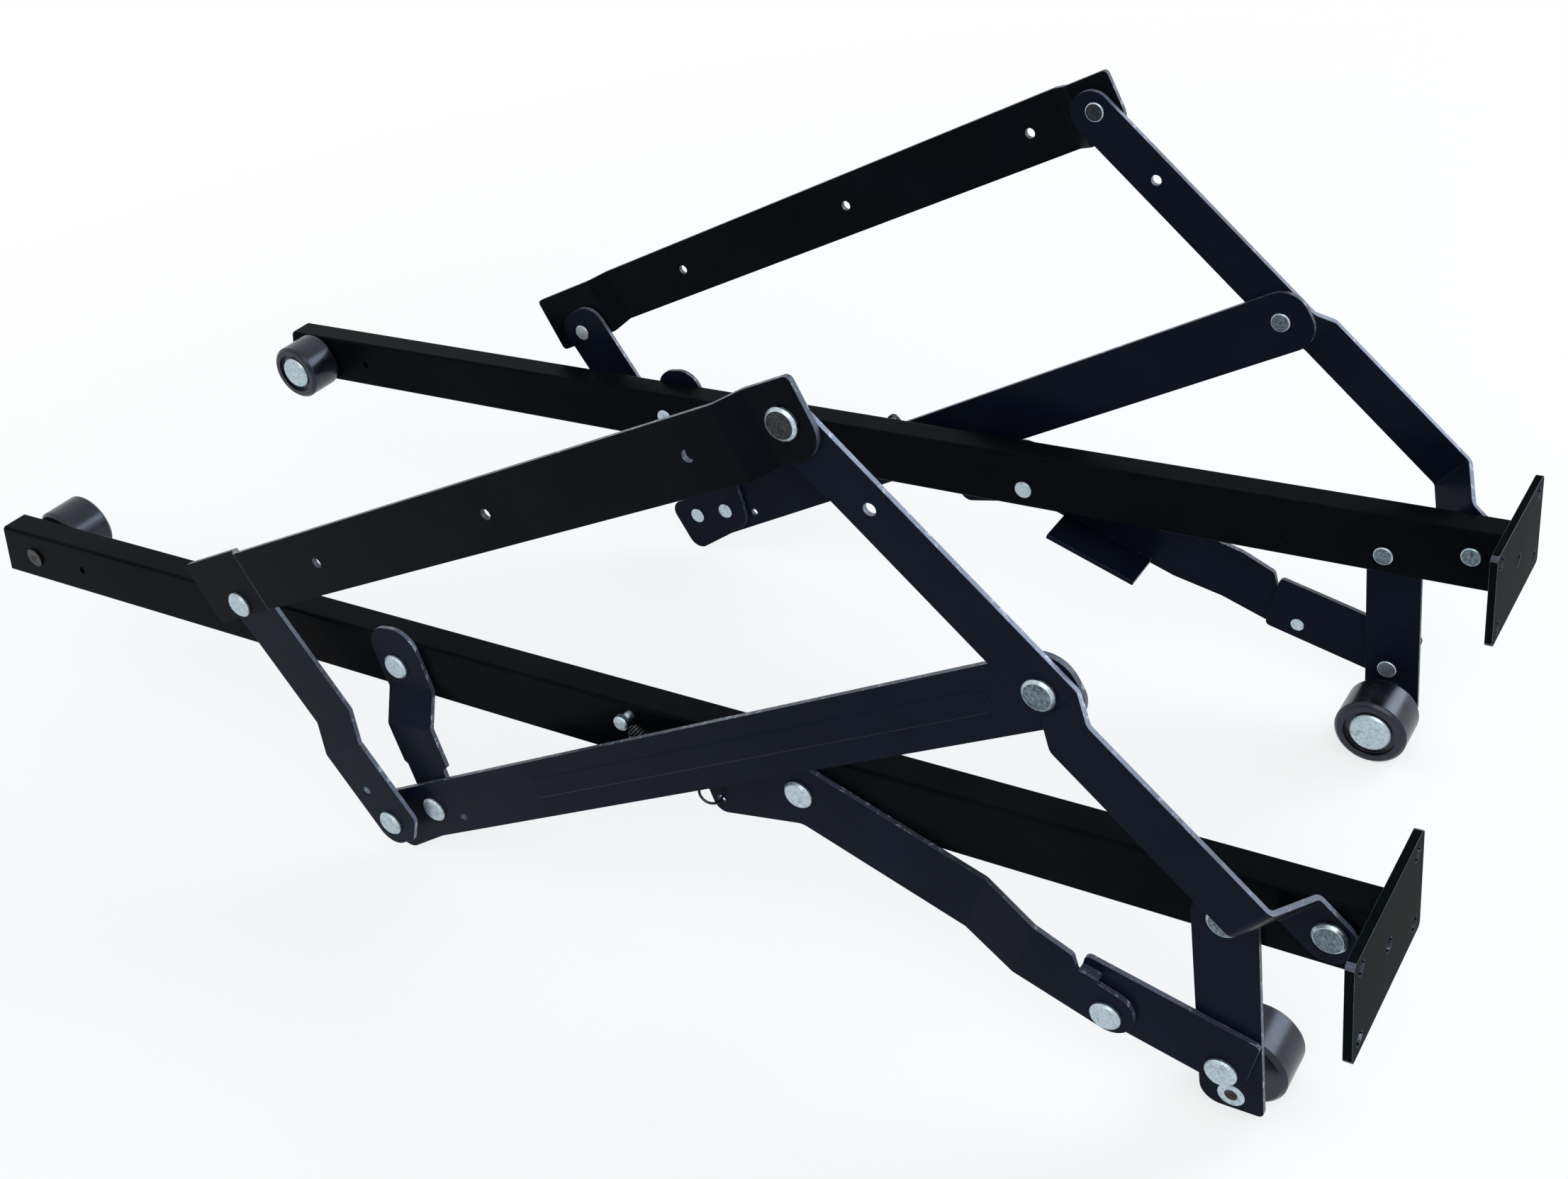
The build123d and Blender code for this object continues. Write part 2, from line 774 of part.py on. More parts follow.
pieces = {
    "rail": make_rail(),
    "end_plate": make_end_plate(),
    "weld_beads": make_weld_beads(),
    "rail_rivets": make_rail_rivets(),
    "rail_axle": make_axle(rail_spacer_end, 0, rail_pin_end_height, rail_axle),
    "rail_spacer": make_spacer(-rail_width, rail_spacer_length, rail_axle),
    "rail_roller": make_roller(rail_spacer_end, rail_axle),
    "lift_arm": make_lift_arm(),
    "arm_rivets": make_arm_rivets(),
    "swing_link": make_swing_link(),
    "swing_rivet_tail": place(rivet_tail(swing_end_out, swing_end_out + strap), swing_main, 0),
    "main_link": make_main_link(),
    "swing_rivet_head": place(rivet_head(main_link_out, main_link_out + strap), swing_main, 0),
    "connector_rivet": make_connector_rivet(),
    "connector_spacer": make_link_spacer(),
    "connector_link": make_connector_link(),
    "bar_rivet_tail": place(rivet_tail(arm_mid_out, arm_mid_out + strap), bar_connector, 0),
    "support_bar": make_support_bar(),
    "bar_rivet_head": place(rivet_head(bar_end_out, bar_end_out + strap), bar_connector, 0),
    "leg_brace": make_leg_brace(),
    "knuckle_rivet_head": place(rivet_head(brace_end_out, brace_end_out + strap), brace_knuckle, 0),
    "knuckle_link": make_knuckle_link(),
    "knuckle_rivet_end": place(rivet_end(knuckle_out, knuckle_out + strap), brace_knuckle, 0),
    "leg": make_leg(),
    "leg_rivet": make_leg_rivet(),
    "leg_axle": make_axle(leg_spacer_end, first_out + strap, leg_pin_end_height, leg_axle),
    "leg_spacer": make_spacer(first_out, leg_spacer_length, leg_axle),
    "leg_roller": make_roller(leg_spacer_end, leg_axle),
    "spring_pin": make_spring_pin(),
    "leg_spring": make_leg_spring(),
}

os.makedirs("parts", exist_ok=True)
for name, piece in pieces.items():
    export_step(piece, f"parts/right_{name}.step")
    across = 2 * rail_face_y + rail_gauge
    left = Pos(-left_stagger, across, 0) * mirror(piece, about=Plane.XZ)
    export_step(left, f"parts/left_{name}.step")
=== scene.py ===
import json
import math
import bmesh
import bpy
from mathutils import Matrix, Vector, noise

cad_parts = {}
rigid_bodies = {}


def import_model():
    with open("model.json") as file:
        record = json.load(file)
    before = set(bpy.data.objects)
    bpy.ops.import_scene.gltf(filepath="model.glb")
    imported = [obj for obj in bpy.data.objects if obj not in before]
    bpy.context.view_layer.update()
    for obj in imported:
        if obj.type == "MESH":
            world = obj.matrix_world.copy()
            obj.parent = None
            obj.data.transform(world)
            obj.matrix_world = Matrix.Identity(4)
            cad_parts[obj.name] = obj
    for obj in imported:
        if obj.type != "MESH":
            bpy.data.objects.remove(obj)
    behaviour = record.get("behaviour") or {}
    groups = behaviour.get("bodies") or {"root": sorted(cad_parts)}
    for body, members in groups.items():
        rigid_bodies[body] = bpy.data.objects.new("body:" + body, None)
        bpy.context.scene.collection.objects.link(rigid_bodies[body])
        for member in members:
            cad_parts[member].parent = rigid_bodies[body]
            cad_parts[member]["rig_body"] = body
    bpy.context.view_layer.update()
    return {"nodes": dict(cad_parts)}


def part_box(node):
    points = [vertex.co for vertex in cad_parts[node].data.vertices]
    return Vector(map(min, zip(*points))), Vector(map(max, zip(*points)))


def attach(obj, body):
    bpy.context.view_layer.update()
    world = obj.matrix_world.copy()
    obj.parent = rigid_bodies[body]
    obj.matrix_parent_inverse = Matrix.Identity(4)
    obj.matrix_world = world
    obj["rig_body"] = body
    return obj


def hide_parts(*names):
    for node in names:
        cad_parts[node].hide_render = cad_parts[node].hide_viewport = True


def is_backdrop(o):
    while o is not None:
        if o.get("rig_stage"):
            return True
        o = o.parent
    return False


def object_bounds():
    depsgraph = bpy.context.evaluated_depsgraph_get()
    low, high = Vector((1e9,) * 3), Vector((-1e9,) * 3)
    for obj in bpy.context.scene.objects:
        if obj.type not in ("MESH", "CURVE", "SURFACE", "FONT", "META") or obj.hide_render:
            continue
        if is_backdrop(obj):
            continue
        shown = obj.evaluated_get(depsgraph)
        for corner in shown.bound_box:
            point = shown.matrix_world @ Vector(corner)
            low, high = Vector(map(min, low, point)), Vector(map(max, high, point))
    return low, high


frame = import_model()
nodes = frame["nodes"]
units = ("right", "left")
mm = 0.001  # the pieces' sizes are in millimetres, the studio's in metres
print("frame loaded:", len(nodes), "nodes")


# Shader maths

mixSockets = {"mask": 0, "low": 6, "high": 7, "result": 2}  # of a Mix node that blends colours


class Socket:
    # one output socket, so that masks and values can be written as sums
    def __init__(self, tree, link=None):
        self.tree = tree
        self.link = link

    def node(self, kind, settings=None, values=None, output=0):
        made = self.tree.nodes.new(kind)
        for name, value in (settings or {}).items():
            if name == "stops":
                fillRamp(made.color_ramp, value)
            else:
                setattr(made, name, value)
        fillSockets(self.tree, made, values or {})
        return Socket(self.tree, made.outputs[output])

    def maths(self, operation, first, second):
        return self.node("ShaderNodeMath", {"operation": operation}, {0: first, 1: second})

    def __add__(self, other):
        return self.maths("ADD", self, other)

    def __mul__(self, other):
        return self.maths("MULTIPLY", self, other)

    def __sub__(self, other):
        return self.maths("SUBTRACT", self, other)

    def __rsub__(self, other):
        return self.maths("SUBTRACT", other, self)

    __radd__ = __add__
    __rmul__ = __mul__


def fillSockets(tree, node, values):
    for name, value in values.items():
        socket = node.inputs[name]
        if isinstance(value, Socket):
            tree.links.new(value.link, socket)
        elif isinstance(value, tuple) and socket.type == "RGBA":
            socket.default_value = (*value, 1)
        else:
            socket.default_value = value


def fillRamp(colourRamp, stops):
    while len(colourRamp.elements) < len(stops):
        colourRamp.elements.new(1)
    for element, (place, value) in zip(colourRamp.elements, stops):
        element.position = place
        element.color = (value, value, value, 1)


def newMaterial(name, constants):
    # the shader's own sockets take what is the same all over
    material = bpy.data.materials.new(name)
    material.use_nodes = True
    tree = material.node_tree
    shader = tree.nodes["Principled BSDF"]
    fillSockets(tree, shader, constants)
    place = Socket(tree).node("ShaderNodeTexCoord", output="Object")
    return material, shader, place


def noiseAt(place, scale, detail, rough=0.5):
    values = {"Vector": place, "Scale": scale, "Detail": detail, "Roughness": rough}
    return place.node("ShaderNodeTexNoise", values=values)


def ramp(value, stops):
    return value.node("ShaderNodeValToRGB", {"stops": stops}, {"Fac": value})


def blendColours(mask, low, high):
    values = {mixSockets["mask"]: mask, mixSockets["low"]: low, mixSockets["high"]: high}
    return mask.node("ShaderNodeMix", {"data_type": "RGBA"}, values, mixSockets["result"])


def stretched(place, scale):
    return place.node("ShaderNodeMapping", values={"Vector": place, "Scale": scale})


def bump(height, strength, depth):
    values = {"Height": height, "Strength": strength, "Distance": depth}
    return height.node("ShaderNodeBump", values=values)


# Gloss black paint, a little different on straps, bars, rails and plates

glossPaint = {
    "deep": (0.0032, 0.0048, 0.0110), "pale": (0.0058, 0.0080, 0.0165), "dust": (0.060, 0.066, 0.074),
    "gloss": 0.035, "tint": (0.78, 0.88, 1.0),
    "rough": 0.24, "cloudRough": 0.14, "speckRough": 0.25,
    "cloud": {"scale": 16, "detail": 5, "rough": 0.6}, "cloudStops": ((0.3, 0), (0.7, 1)),
    "speck": {"scale": 900, "detail": 3, "rough": 0.7}, "speckStops": ((0.66, 0), (0.78, 1)),
    "patch": {"scale": 60, "detail": 3}, "patchStops": ((0.45, 0), (0.7, 0.5)),
    "peel": {"scale": 520, "detail": 2}, "peelStrength": 0.5, "peelDepth": 0.00004,
}
barPaint = {
    **glossPaint,
    "deep": (0.0016, 0.0020, 0.0030), "pale": (0.0036, 0.0043, 0.0064), "gloss": 0.025,
}
railPaint = {
    **glossPaint,
    "deep": (0.0018, 0.0022, 0.0028), "pale": (0.0040, 0.0048, 0.0062), "gloss": 0.012,
}
platePaint = {
    **glossPaint,
    "deep": (0.0016, 0.0028, 0.0031), "pale": (0.0042, 0.0062, 0.0066), "dust": (0.090, 0.096, 0.100),
    "gloss": 0.002,
}


def makePaint(name, look):
    constants = {"Specular IOR Level": look["gloss"], "Specular Tint": look["tint"]}
    material, shader, place = newMaterial(name, constants)
    cloud = noiseAt(place, **look["cloud"])
    peel = noiseAt(place, **look["peel"])
    speck = ramp(noiseAt(place, **look["speck"]), look["speckStops"])
    speck = speck * ramp(noiseAt(place, **look["patch"]), look["patchStops"])
    colour = blendColours(ramp(cloud, look["cloudStops"]), look["deep"], look["pale"])
    fillSockets(material.node_tree, shader, {
        "Base Color": blendColours(speck, colour, look["dust"]),
        "Roughness": look["rough"] + cloud * look["cloudRough"] + speck * look["speckRough"],
        "Normal": bump(peel, look["peelStrength"], look["peelDepth"]),
    })
    return material


# The sheared edges of the straps, with a painted highlight: a bright base colour for the light the edges
# catch, marked with scores, bare patches and bright chips where the paint is thin

# the paint colours are bright to paint the highlight on the edges; the scores, bare patches and chips are
# the edges' own marks
shearedEdgeHighlight = {
    "paint": (0.235, 0.275, 0.385), "thin": (0.640, 0.700, 0.800),
    "score": (0.050, 0.062, 0.094), "bare": (0.012, 0.015, 0.024),
    "gloss": 0.6, "tint": (0.85, 0.92, 1.0), "rough": 0.30, "scoreRough": 0.28, "chipShare": 0.7,
    "scoreStretch": (30, 400, 30), "scores": {"scale": 24, "detail": 4, "rough": 0.6},
    "scoreStops": ((0.3, 1), (0.55, 0)), "scoreStrength": 0.6, "scoreDepth": 0.00012,
    "chips": {"scale": 260, "detail": 4, "rough": 0.65}, "chipStops": ((0.56, 0), (0.66, 1)),
    "broad": {"scale": 9, "detail": 4, "rough": 0.6}, "broadStops": ((0.36, 0.15), (0.60, 1)),
}
# a dimmer painted highlight, for the edges of the other straps and the end plate's arrises
dimEdgeHighlight = {
    **shearedEdgeHighlight,
    "paint": (0.050, 0.062, 0.095), "thin": (0.420, 0.470, 0.560), "score": (0.014, 0.018, 0.030),
}


def makeEdgeHighlight(name, look):
    constants = {"Specular IOR Level": look["gloss"], "Specular Tint": look["tint"]}
    material, shader, place = newMaterial(name, constants)
    score = noiseAt(stretched(place, look["scoreStretch"]), **look["scores"])
    chips = ramp(noiseAt(place, **look["chips"]), look["chipStops"])
    broad = ramp(noiseAt(place, **look["broad"]), look["broadStops"])
    colour = blendColours(ramp(score, look["scoreStops"]), look["paint"], look["score"])
    colour = blendColours(broad, look["bare"], colour)
    fillSockets(material.node_tree, shader, {
        "Base Color": blendColours(chips * broad * look["chipShare"], colour, look["thin"]),
        "Roughness": look["rough"] + score * look["scoreRough"],
        "Normal": bump(score, look["scoreStrength"], look["scoreDepth"]),
    })
    return material


# Zinc plate, also stained, blackened, darker in the axles' middles and as spring wire

zinc = {
    "plate": (0.56, 0.67, 0.74), "dull": (0.36, 0.44, 0.49), "stain": (0.150, 0.175, 0.185),
    "metal": 0.92, "tint": (0.9, 0.96, 1.0), "rough": 0.30, "mottleRough": 0.12, "stainRough": 0.20,
    "mottle": {"scale": 620, "detail": 5, "rough": 0.7}, "mottleStops": ((0.36, 0), (0.64, 1)),
    "stains": {"scale": 210, "detail": 4, "rough": 0.75}, "stainStops": ((0.54, 0), (0.72, 1)),
    "stainShare": 0.7, "grain": {"scale": 1500, "detail": 3}, "grainShare": 0.35,
    "strength": 0.5, "depth": 0.00004,
}
stainedZinc = {
    **zinc,
    "plate": (0.20, 0.265, 0.295), "dull": (0.048, 0.068, 0.078), "stain": (0.024, 0.030, 0.034),
}
blackZinc = {
    **zinc,
    "plate": (0.060, 0.066, 0.072), "dull": (0.014, 0.016, 0.019), "stain": (0.006, 0.006, 0.007),
}
axleMiddleDark = {**stainedZinc, "plate": (0.060, 0.055, 0.050), "dull": (0.020, 0.018, 0.018)}
springBlack = {**zinc, "plate": (0.055, 0.060, 0.070), "dull": (0.020, 0.022, 0.027)}


def makeZinc(name, look):
    constants = {"Metallic": look["metal"], "Specular Tint": look["tint"]}
    material, shader, place = newMaterial(name, constants)
    mottle = ramp(noiseAt(place, **look["mottle"]), look["mottleStops"])
    stain = ramp(noiseAt(place, **look["stains"]), look["stainStops"])
    grain = noiseAt(place, **look["grain"])
    colour = blendColours(mottle, look["dull"], look["plate"])
    fillSockets(material.node_tree, shader, {
        "Base Color": blendColours(stain * look["stainShare"], colour, look["stain"]),
        "Roughness": look["rough"] + mottle * look["mottleRough"] + stain * look["stainRough"],
        "Normal": bump(grain * look["grainShare"] + mottle, look["strength"], look["depth"]),
    })
    return material


# Moulded plastic of the rollers, rubbed and scuffed in patches

moulded = {
    "black": (0.0045, 0.0052, 0.0080), "rubbed": (0.0110, 0.0122, 0.0185), "scuff": (0.060, 0.065, 0.080),
    "gloss": 0.48, "tint": (0.74, 0.80, 1.0), "rough": 0.18, "grainRough": 0.08, "wornRough": 0.10,
    "grain": {"scale": 700, "detail": 4, "rough": 0.6}, "strength": 0.5, "depth": 0.00003,
    "worn": {"scale": 55, "detail": 4, "rough": 0.65}, "wornStops": ((0.42, 0), (0.68, 1)),
    "scuffStretch": (90, 900, 90), "scuffs": {"scale": 1, "detail": 4, "rough": 0.7},
    "scuffStops": ((0.60, 0), (0.72, 1)), "scuffShare": 0.6,
}


def makeMoulded(name, look):
    constants = {"Specular IOR Level": look["gloss"], "Specular Tint": look["tint"]}
    material, shader, place = newMaterial(name, constants)
    grain = noiseAt(place, **look["grain"])
    worn = ramp(noiseAt(place, **look["worn"]), look["wornStops"])
    scuff = ramp(noiseAt(stretched(place, look["scuffStretch"]), **look["scuffs"]), look["scuffStops"])
    scuff = scuff * worn
    colour = blendColours(worn, look["black"], look["rubbed"])
    fillSockets(material.node_tree, shader, {
        "Base Color": blendColours(scuff * look["scuffShare"], colour, look["scuff"]),
        "Roughness": look["rough"] + grain * look["grainRough"] + worn * look["wornRough"],
        "Normal": bump(grain, look["strength"], look["depth"]),
    })
    return material


# Painted weld metal, partly bare

weldSteel = {
    "bead": (0.115, 0.125, 0.140), "soot": (0.018, 0.020, 0.024), "gloss": 0.8,
    "patch": {"scale": 420, "detail": 5, "rough": 0.7},
    "sootStops": ((0.40, 0), (0.62, 1)), "metalStops": ((0.45, 0), (0.6, 0.7)),
    "rough": 0.22, "patchRough": 0.25, "strength": 0.6, "depth": 0.0001,
}


def makeWeld(name, look):
    material, shader, place = newMaterial(name, {"Specular IOR Level": look["gloss"]})
    patch = noiseAt(place, **look["patch"])
    fillSockets(material.node_tree, shader, {
        "Base Color": blendColours(ramp(patch, look["sootStops"]), look["soot"], look["bead"]),
        "Roughness": look["rough"] + patch * look["patchRough"],
        "Metallic": ramp(patch, look["metalStops"]),
        "Normal": bump(patch, look["strength"], look["depth"]),
    })
    return material


finishes = {
    "paint": makePaint("gloss black paint", glossPaint),
    "barPaint": makePaint("bar black paint", barPaint),
    "railPaint": makePaint("rail black paint", railPaint),
    "platePaint": makePaint("plate grey black paint", platePaint),
    "edge": makeEdgeHighlight("sheared painted edge", shearedEdgeHighlight),
    "dimEdgeHighlight": makeEdgeHighlight("coated edge", dimEdgeHighlight),
    "zinc": makeZinc("zinc plate", zinc),
    "darkZinc": makeZinc("stained zinc plate", stainedZinc),
    "blackZinc": makeZinc("blackened rivet", blackZinc),
    "roller": makeMoulded("moulded roller", moulded),
    "weld": makeWeld("painted weld", weldSteel),
    "dirt": makeZinc("dirt in the axle end", axleMiddleDark),
    "spring": makeZinc("blackened spring wire", springBlack),
}
print("finishes made:", len(finishes))


# Steel pieces: each keeps the frame's form and gets rounded arrises

arris = {
    "joinGap": 0.01, "flatAngle": 0.4,  # points this near and faces this flat are merged first
    "sharpAngle": 35, "profile": 0.5, "shadeAngle": 42,  # angles in degrees
}


def linkObject(name, mesh):
    piece = bpy.data.objects.new(name, mesh)
    bpy.context.scene.collection.objects.link(piece)
    return piece


def copyMesh(node, name):
    mesh = nodes[node].data.copy()
    mesh.materials.clear()
    return linkObject(name, mesh)


def pieceName(unit, part):
    return unit + "".join(word.capitalize() for word in part.split("_"))


def smoothFaces(mesh):
    for face in mesh.polygons:
        face.use_smooth = True


def roundArrises(piece, width, segments, look):
    form = bmesh.new()
    form.from_mesh(piece.data)
    bmesh.ops.remove_doubles(form, verts=form.verts, dist=look["joinGap"] * mm)
    flat = math.radians(look["flatAngle"])
    bmesh.ops.dissolve_limit(form, angle_limit=flat, verts=form.verts, edges=form.edges)
    sharp = math.radians(look["sharpAngle"])
    arrises = [edge for edge in form.edges if len(edge.link_faces) == 2 and edge.calc_face_angle(0) > sharp]
    if arrises:
        bmesh.ops.bevel(form, geom=arrises, offset=width, offset_type="OFFSET", segments=segments,
                        profile=look["profile"], affect="EDGES", clamp_overlap=True)
    form.to_mesh(piece.data)
    form.free()
    smoothFaces(piece.data)
    piece.data.set_sharp_from_angle(angle=math.radians(look["shadeAngle"]))
    normals = piece.modifiers.new("even normals", "WEIGHTED_NORMAL")
    normals.keep_sharp = True


def addFinish(piece, finish):
    piece.data.materials.append(finishes[finish])
    return len(piece.data.materials) - 1


def dress(unit, part, face, width, segments=2):
    node = f"{unit}_{part}"
    piece = copyMesh(node, pieceName(unit, part))
    roundArrises(piece, width * mm, segments, arris)
    addFinish(piece, face)
    body = nodes[node]["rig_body"]
    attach(piece, body)
    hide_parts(node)
    return piece


# arrises that look along none of the axes get a brighter finish: a painted highlight on the plate's edges
# and the rivets' rims
arrisHighlight = {"squareness": 0.985}


def highlightArrises(piece, finish, look):
    # every face that looks along none of the three axes, by the largest part of its normal, gets the
    # brighter finish: a painted highlight
    index = addFinish(piece, finish)
    for polygon in piece.data.polygons:
        if max(abs(part) for part in polygon.normal) < look["squareness"]:
            polygon.material_index = index


# Straps: the sheared edges get their own finish, a painted highlight that is brighter on the parts in
# brightEdged, and a bent flange keeps the paint

strap = {
    "parts": ("lift_arm", "swing_link", "main_link", "connector_link", "support_bar", "leg_brace",
              "knuckle_link", "leg"),
    "barPainted": ("support_bar",), "brightEdged": ("lift_arm", "connector_link"),
    "arris": 0.45, "segments": 3,
    "edgeWidth": 4.2, "sideways": 0.3,  # an edge face is narrower and looks less sideways than this
}


# thin faces that look sideways get the edge finish, a painted highlight
def paintEdges(piece, finish, look):
    index = addFinish(piece, finish)
    for polygon in piece.data.polygons:
        corners = [piece.data.vertices[vertex].co for vertex in polygon.vertices]
        around = sum((corner - corners[number - 1]).length for number, corner in enumerate(corners))
        thin = 2 * polygon.area < look["edgeWidth"] * mm * around
        if thin and abs(polygon.normal.y) < look["sideways"]:
            polygon.material_index = index


def dressStraps(unit, look):
    for part in look["parts"]:
        face = "barPaint" if part in look["barPainted"] else "paint"
        piece = dress(unit, part, face, look["arris"], look["segments"])
        paintEdges(piece, "edge" if part in look["brightEdged"] else "dimEdgeHighlight", look)


# Rail and end plate

rail = {"arris": 0.25}
endPlate = {"arris": 0.3}


def dressRail(unit, look):
    dress(unit, "rail", "railPaint", look["arris"])


def dressEndPlate(unit, look):
    piece = dress(unit, "end_plate", "platePaint", look["arris"])
    # the plate's arrises get the dimmer painted edge highlight
    highlightArrises(piece, "dimEdgeHighlight", arrisHighlight)


# Rivets, axles, spacers and the spring's pin

rivet = {
    "parts": ("arm_rivets", "swing_rivet_tail", "swing_rivet_head", "connector_rivet", "connector_spacer",
              "bar_rivet_tail", "bar_rivet_head", "knuckle_rivet_head", "knuckle_rivet_end", "leg_rivet",
              "leg_axle", "leg_spacer", "rail_rivets", "rail_axle", "rail_spacer", "spring_pin"),
    "stained": ("arm_rivets", "rail_rivets"), "arris": 0.18,
    "blackAbove": 0.5,  # of the arm rivets, those above this share of the node's height are black
    "brightBelow": 0.6,  # of the rail rivets, those this near the free end are bright
    "darkWithin": {"leg_axle": 3.4, "rail_axle": 7.2},  # reach of the darker finish around an axle's middle
}


def finishBeyond(piece, finish, axis, share, above):
    # the rivets on one side of a border get another finish, but for their arrises, which keep their painted
    # highlight
    places = [getattr(corner.co, axis) for corner in piece.data.vertices]
    border = min(places) + share * (max(places) - min(places))
    index = addFinish(piece, finish)
    for polygon in piece.data.polygons:
        beyond = getattr(polygon.center, axis) > border
        if polygon.material_index == 0 and beyond == above:
            polygon.material_index = index


# the faces near the middle of an axle's end get a darker finish
def darkenAxleMiddles(piece, reach):
    corners = [corner.co for corner in piece.data.vertices]
    middleX = (min(corner.x for corner in corners) + max(corner.x for corner in corners)) / 2
    middleZ = (min(corner.z for corner in corners) + max(corner.z for corner in corners)) / 2
    index = addFinish(piece, "dirt")
    for polygon in piece.data.polygons:
        around = [corners[vertex] for vertex in polygon.vertices]
        if max(math.hypot(corner.x - middleX, corner.z - middleZ) for corner in around) < reach * mm:
            polygon.material_index = index


def dressRivets(unit, look):
    for part in look["parts"]:
        stained = part in look["stained"]
        piece = dress(unit, part, "darkZinc" if stained else "zinc", look["arris"])
        if stained:
            # their chamfers get the bright zinc, a painted highlight on the rims
            highlightArrises(piece, "zinc", arrisHighlight)
        if part == "arm_rivets":
            finishBeyond(piece, "blackZinc", "z", look["blackAbove"], above=True)
        if part == "rail_rivets":
            finishBeyond(piece, "zinc", "x", look["brightBelow"], above=False)
        if part in look["darkWithin"]:
            darkenAxleMiddles(piece, look["darkWithin"][part])


# Rollers

roller = {"parts": ("leg_roller", "rail_roller"), "arris": 0.5, "segments": 3}


def dressRollers(unit, look):
    for part in look["parts"]:
        dress(unit, part, "roller", look["arris"], look["segments"])


for unit in units:
    dressStraps(unit, strap)
    dressRail(unit, rail)
    dressEndPlate(unit, endPlate)
    dressRivets(unit, rivet)
    dressRollers(unit, roller)
print("steel pieces dressed")


# Places taken from the frame

def boxMiddle(node):
    low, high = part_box(node)
    return (Vector(low) + Vector(high)) / 2


def outwards(unit):
    return Vector((0, -1 if unit == "right" else 1, 0))  # away from the other unit


def outerFace(unit, part):
    low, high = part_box(f"{unit}_{part}")
    return low.y if unit == "right" else high.y


# A low embossed rib along the outer face of each main link

linkRib = {
    "height": 0.35, "halfWidth": 5.5, "draft": 0.9, "sink": 0.1, "arcPoints": 9,
    "arris": 0.12, "arrisSegments": 2,
    "clearOfArm": 34, "clearOfSwing": 100, "rivetReach": 16,
}


def linkSpan(unit, look):
    # the middle of the arm's lower rivet and of the swing link's rivet head
    arm = nodes[f"{unit}_arm_rivets"]
    corners = [arm.matrix_world @ vertex.co for vertex in arm.data.vertices]
    low = min(corner.z for corner in corners)
    near = [corner for corner in corners if corner.z < low + look["rivetReach"] * mm]
    return sum(near, Vector()) / len(near), boxMiddle(f"{unit}_swing_rivet_head")


def slotOutline(start, end, axis, across, half, arcPoints):
    # two half circles of points, round the end and then round the start
    points = []
    for middle, firstTurn in ((end, -math.pi / 2), (start, math.pi / 2)):
        for step in range(arcPoints):
            turn = firstTurn + math.pi * step / (arcPoints - 1)
            points.append(middle + axis * half * math.cos(turn) + across * half * math.sin(turn))
    return points


def makeLinkRib(unit, look):
    arm, swing = linkSpan(unit, look)
    arm.y = swing.y = outerFace(unit, "main_link")
    out = outwards(unit)
    axis = (swing - arm).normalized()
    start = arm + axis * look["clearOfArm"] * mm
    end = swing - axis * look["clearOfSwing"] * mm
    form = bmesh.new()
    rings = []
    foot = look["halfWidth"] + look["draft"]
    for half, height in ((foot, -look["sink"]), (look["halfWidth"], look["height"])):
        outline = slotOutline(start, end, axis, out.cross(axis), half * mm, look["arcPoints"])
        rings.append([form.verts.new(point + out * height * mm) for point in outline])
    low, high = rings
    for index, corner in enumerate(low):
        after = (index + 1) % len(low)
        form.faces.new((corner, low[after], high[after], high[index]))
    form.faces.new(high)
    form.faces.new(list(reversed(low)))
    bmesh.ops.recalc_face_normals(form, faces=form.faces)
    mesh = bpy.data.meshes.new(f"{unit}LinkRib")
    form.to_mesh(mesh)
    form.free()
    rib = linkObject(f"{unit}LinkRib", mesh)
    addFinish(rib, "paint")
    softened = rib.modifiers.new("soft arrises", "BEVEL")
    softened.width = look["arris"] * mm
    softened.segments = look["arrisSegments"]
    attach(rib, nodes[f"{unit}_main_link"]["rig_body"])


# Weld beads along the rail's edges at the end plate

weldBead = {
    "radius": 1.9, "ripple": 0.28, "ripplePitch": 1.9, "wander": 0.25, "wanderScale": 600,
    "cornerGap": 2, "endShare": 0.45, "endRise": 4,  # a bead's ends are thinner than its middle
    "ripplePoints": 5, "ringPoints": 10,
}


def sweepTube(name, path, radii, ringPoints):
    form = bmesh.new()
    rings = []
    side = Vector((0, 0, 1))
    for index, point in enumerate(path):
        before = path[max(index - 1, 0)]
        after = path[min(index + 1, len(path) - 1)]
        along = (after - before).normalized()
        side = (side - along * side.dot(along)).normalized()
        across = along.cross(side)
        ring = []
        for step in range(ringPoints):
            turn = 2 * math.pi * step / ringPoints
            offset = side * math.cos(turn) + across * math.sin(turn)
            ring.append(form.verts.new(point + offset * radii[index]))
        rings.append(ring)
    for first, second in zip(rings, rings[1:]):
        for step in range(ringPoints):
            after = (step + 1) % ringPoints
            form.faces.new((first[step], first[after], second[after], second[step]))
    form.faces.new(list(reversed(rings[0])))
    form.faces.new(rings[-1])
    mesh = bpy.data.meshes.new(name)
    form.to_mesh(mesh)
    form.free()
    smoothFaces(mesh)
    return linkObject(name, mesh)


def joinPieces(pieces, name):
    mesh = bpy.data.meshes.new(name)
    form = bmesh.new()
    for piece in pieces:
        form.from_mesh(piece.data)
    form.to_mesh(mesh)
    form.free()
    for piece in pieces:
        bpy.data.objects.remove(piece)
    smoothFaces(mesh)
    return linkObject(name, mesh)


def weldRuns(unit, look):
    # start and end of the four beads: below, above, and on both sides of the rail
    railLow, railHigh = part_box(f"{unit}_rail")
    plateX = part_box(f"{unit}_end_plate")[0].x
    gap = look["cornerGap"] * mm
    runs = []
    for z in (railLow.z, railHigh.z):
        runs.append((Vector((plateX, railLow.y + gap, z)), Vector((plateX, railHigh.y - gap, z))))
    for y in (railLow.y, railHigh.y):
        runs.append((Vector((plateX, y, railLow.z + gap)), Vector((plateX, y, railHigh.z - gap))))
    return runs


